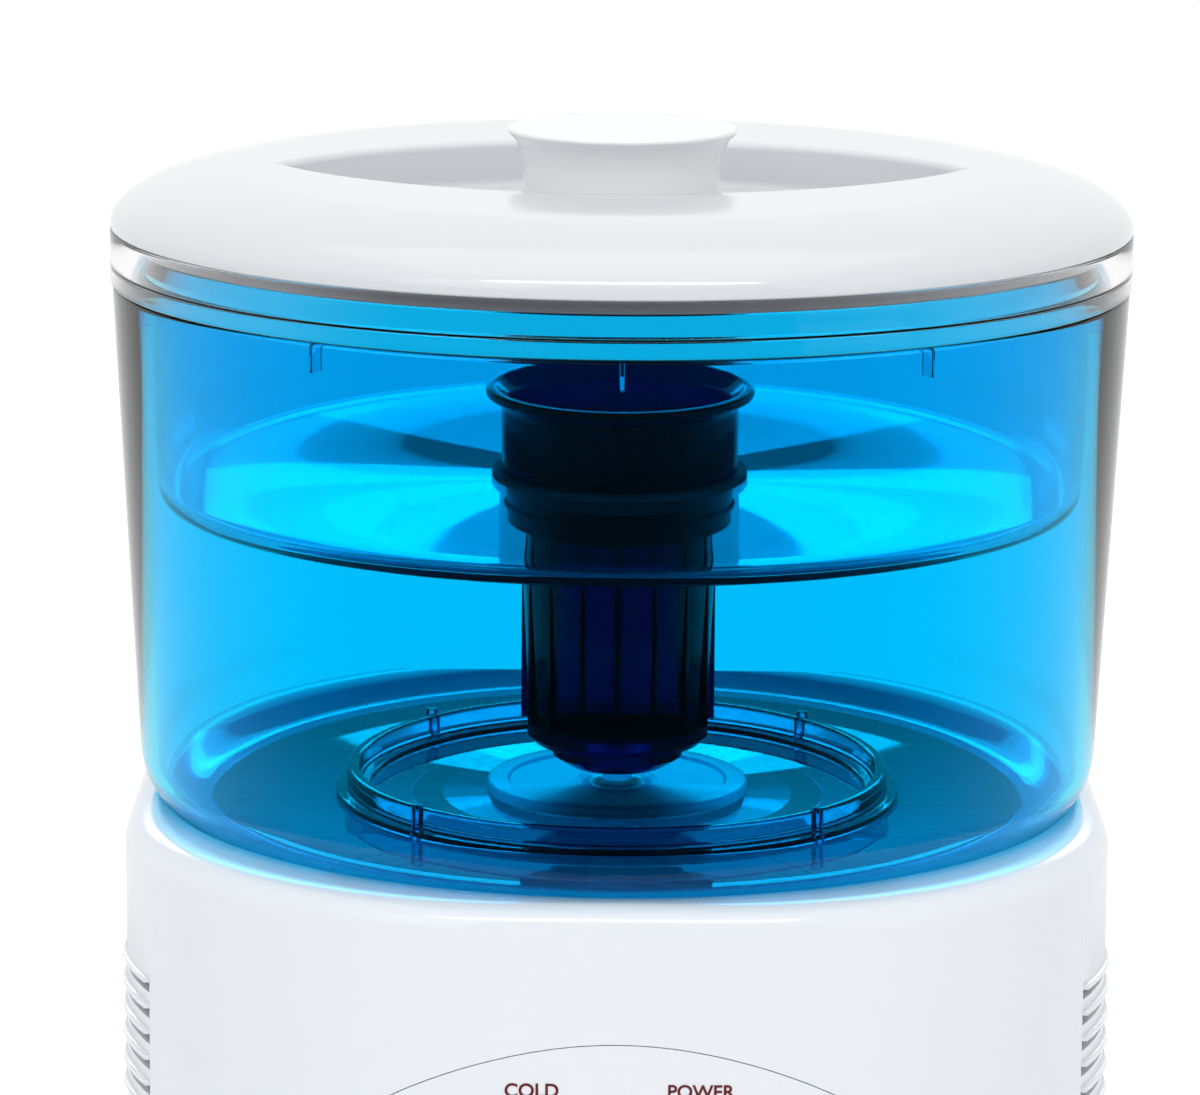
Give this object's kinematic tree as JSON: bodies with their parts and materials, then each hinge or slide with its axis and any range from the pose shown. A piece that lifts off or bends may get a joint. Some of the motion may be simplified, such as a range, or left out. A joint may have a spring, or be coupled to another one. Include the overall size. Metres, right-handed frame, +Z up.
{
  "type": "countertop water dispenser",
  "caption": "Countertop water dispenser: white chiller body with taps, drip tray and side louvres under a round clear-blue filter pot with a domed lid.",
  "frame": {"origin": "on the axis of the round water pot, in the plane that the rubber feet stand on", "axes": "+Z up, the taps and the front panel face -Y, +X to the right as seen from behind the front (the viewer's right)"},
  "size_m": [0.2924, 0.2938, 0.5637],
  "materials": {
    "body_white": "satin moulded white",
    "lid_white": "glossy moulded white",
    "tank_blue": "clear blue, polished",
    "tray_blue": "clear blue, polished",
    "collar_clear": "clear, colourless",
    "filter_navy": "dark navy, slightly see-through",
    "screen_grey": "pale blue-grey",
    "outlet_pale": "pale, slightly see-through",
    "inner_grey": "moulded grey",
    "niche_grey": "satin light grey",
    "drip_grey": "satin light grey",
    "rubber_dark": "matt",
    "silicone": "matt, milky",
    "steel": "brushed",
    "zinc_screw": "bright zinc",
    "aluminium": "milled",
    "foam": "closed-cell foam",
    "black_plastic": "fine grain",
    "circuit_green": "solder resist",
    "ceramic_white": "matt",
    "lamp_lens": "clear",
    "cold_blue": "glossy",
    "room_white": "glossy"
  },
  "bodies": {
    "base": {"base_plate": "inner_grey", "board_bracket": "inner_grey", "body_shell": "body_white", "case_screws": "zinc_screw", "cold_block": "aluminium", "cold_tank": "steel", "cold_tank_insulation": "foam", "cold_tank_lid": "inner_grey", "cold_tap_body": "room_white", "cold_tube": "silicone", "cold_valve_spring": "steel", "drain_fitting": "black_plastic", "drain_tube": "silicone", "fan_frame": "black_plastic", "feed_tube": "silicone", "feet": "rubber_dark", "front_panel": "body_white", "heat_sink": "aluminium", "inlet_cup": "inner_grey", "lamp_board": "circuit_green", "lamp_lenses": "lamp_lens", "lever_pins": "steel", "mains_inlet": "black_plastic", "niche_liner": "niche_grey", "power_board": "circuit_green", "rear_panel": "body_white", "room_tap_body": "room_white", "room_tube": "silicone", "room_valve_spring": "steel", "switch_body": "black_plastic", "tap_bonnets": "room_white", "tap_gaskets": "rubber_dark", "tap_nuts": "steel", "thermoelectric_module": "ceramic_white"},
    "pot": {"filtered_water_tank": "tank_blue", "outlet_guard_ring": "tank_blue", "outlet_spigot": "outlet_pale", "outlet_seal": "rubber_dark", "outlet_nut": "outlet_pale"},
    "tray": {"raw_water_tray": "tray_blue", "clear_collar": "collar_clear", "cartridge_socket": "filter_navy", "cartridge_seal": "rubber_dark"},
    "filter": {"filter_cup": "filter_navy", "filter_strainer": "screen_grey", "filter_body": "filter_navy", "filter_end_cap": "filter_navy"},
    "lid": {"lid_shell": "lid_white", "lid_grip": "lid_white", "lid_grip_screws": "zinc_screw"},
    "cold_lever_body": {"cold_lever": "cold_blue"},
    "room_lever_body": {"room_lever": "room_white"},
    "cold_plunger_body": {"cold_plunger": "room_white"},
    "room_plunger_body": {"room_plunger": "room_white"},
    "drip_tray_body": {"drip_tray": "drip_grey"},
    "drip_grille_body": {"drip_grille": "drip_grey"},
    "fan": {"fan_rotor": "black_plastic"},
    "rocker": {"switch_rocker": "black_plastic"},
    "plug": {"drain_plug": "black_plastic"}
  },
  "joints": [
    {"name": "pot_lift", "type": "slide", "parent": "base", "child": "pot", "axis": [0, 0, 1], "range_m": [0, 0.05]},
    {"name": "tray_lift", "type": "slide", "parent": "pot", "child": "tray", "axis": [0, 0, 1], "range_m": [0, 0.165]},
    {"name": "filter_lift", "type": "slide", "parent": "tray", "child": "filter", "axis": [0, 0, 1], "range_m": [0, 0.165]},
    {"name": "lid_lift", "type": "slide", "parent": "filter", "child": "lid", "axis": [0, 0, 1], "range_m": [0, 0.06]},
    {"name": "drip_tray_slide", "type": "slide", "parent": "base", "child": "drip_tray_body", "axis": [0, -1, 0], "range_m": [0, 0.095]},
    {"name": "drip_grille_lift", "type": "slide", "parent": "drip_tray_body", "child": "drip_grille_body", "axis": [0, 0, 1], "range_m": [0, 0.03]},
    {"name": "fan_spin", "type": "hinge", "parent": "base", "child": "fan", "pos_m": [0, 0.12, 0.205], "axis": [0, 1, 0], "continuous": true},
    {"name": "rocker_press", "type": "hinge", "parent": "base", "child": "rocker", "pos_m": [-0.04, 0.135, 0.096], "axis": [1, 0, 0], "range_deg": [0, 16]},
    {"name": "drain_plug_pull", "type": "slide", "parent": "base", "child": "plug", "axis": [0, 1, 0], "range_m": [0, 0.03]},
    {"name": "cold_lever_press", "type": "hinge", "parent": "base", "child": "cold_lever_body", "pos_m": [-0.036, -0.112, 0.241], "axis": [1, 0, 0], "range_deg": [0, 20]},
    {"name": "cold_plunger_lift", "type": "slide", "parent": "base", "child": "cold_plunger_body", "axis": [0, 0, 1], "range_m": [0, 0.00274], "stiffness_N_per_m": 300, "springref_m": -0.001, "deforming": ["cold_valve_spring"]},
    {"name": "room_lever_press", "type": "hinge", "parent": "base", "child": "room_lever_body", "pos_m": [0.036, -0.112, 0.241], "axis": [1, 0, 0], "range_deg": [0, 20]},
    {"name": "room_plunger_lift", "type": "slide", "parent": "base", "child": "room_plunger_body", "axis": [0, 0, 1], "range_m": [0, 0.00274], "stiffness_N_per_m": 300, "springref_m": -0.001, "deforming": ["room_valve_spring"]}
  ],
  "couplings": [
    {"joint": "cold_lever_press", "follows": "cold_plunger_lift", "rad_per_m": 127.57},
    {"joint": "room_lever_press", "follows": "room_plunger_lift", "rad_per_m": 127.57}
  ]
}
